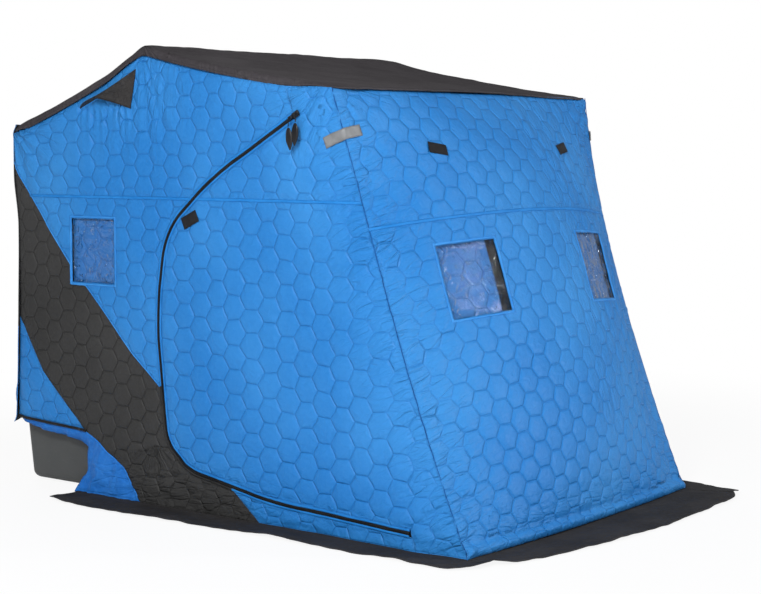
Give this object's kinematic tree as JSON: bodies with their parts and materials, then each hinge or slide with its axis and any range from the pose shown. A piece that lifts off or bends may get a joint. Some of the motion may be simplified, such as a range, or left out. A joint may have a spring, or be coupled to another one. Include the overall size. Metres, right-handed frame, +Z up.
{
  "type": "ice fishing shelter",
  "caption": "Flip-over ice fishing shelter: a quilted cloth cabin on a tube frame over a moulded sled, with two hinged cloth doors.",
  "frame": {"origin": "on the ground, under the middle of the whole shelter", "axes": "+X to the right side, +Y to the sled end, the front wall faces -Y, +Z up"},
  "size_m": [2.21, 2.9998, 2.035],
  "materials": {
    "quilt_blue": "quilted polyester, satin",
    "quilt_black": "quilted polyester",
    "roof_black": "quilted polyester",
    "skirt_black": "coated cloth",
    "hood_black": "coated cloth",
    "zip_black": "moulded coil zip",
    "window_clear": "clear flexible sheet",
    "sled_plastic": "moulded polyethylene",
    "frame_tube": "mill finish",
    "bracket_steel": "powder coated"
  },
  "bodies": {
    "shelter": {"sled_tub": "sled_plastic", "base_frame": "frame_tube", "front_hoop": "frame_tube", "ridge_hoop": "frame_tube", "rear_hoop": "frame_tube", "roof_front_panel": "roof_black", "roof_rear_panel": "roof_black", "rear_wall": "quilt_blue", "front_upper_panel": "quilt_blue", "front_lower_panel": "quilt_blue", "front_left_window": "window_clear", "front_right_window": "window_clear", "front_skirt": "skirt_black", "right_upper_panel": "quilt_blue", "right_middle_panel": "quilt_blue", "right_accent_panel": "quilt_black", "right_lower_rear_panel": "quilt_blue", "right_sill_panel": "quilt_blue", "right_front_strip": "quilt_blue", "right_wall_zip": "zip_black", "right_hem_zip": "zip_black", "right_window": "window_clear", "right_vent_hood": "hood_black", "right_roof_rail": "frame_tube", "right_pivot_bracket": "bracket_steel", "right_skirt": "skirt_black", "left_upper_panel": "quilt_blue", "left_middle_panel": "quilt_blue", "left_accent_panel": "quilt_black", "left_lower_rear_panel": "quilt_blue", "left_sill_panel": "quilt_blue", "left_front_strip": "quilt_blue", "left_wall_zip": "zip_black", "left_hem_zip": "zip_black", "left_window": "window_clear", "left_vent_hood": "hood_black", "left_roof_rail": "frame_tube", "left_pivot_bracket": "bracket_steel", "left_skirt": "skirt_black"},
    "right_door": {"right_door_panel": "quilt_blue", "right_door_zip": "zip_black"},
    "left_door": {"left_door_panel": "quilt_blue", "left_door_zip": "zip_black"}
  },
  "joints": [
    {"name": "right_door_hinge", "type": "hinge", "parent": "shelter", "child": "right_door", "pos_m": [0.88002, -0.95141, 0.076], "axis": [-0.0286, -0.3171, -0.948], "range_deg": [0, 110]},
    {"name": "left_door_hinge", "type": "hinge", "parent": "shelter", "child": "left_door", "pos_m": [-0.88002, -0.95141, 0.076], "axis": [-0.0286, 0.3171, 0.948], "range_deg": [0, 110]}
  ]
}
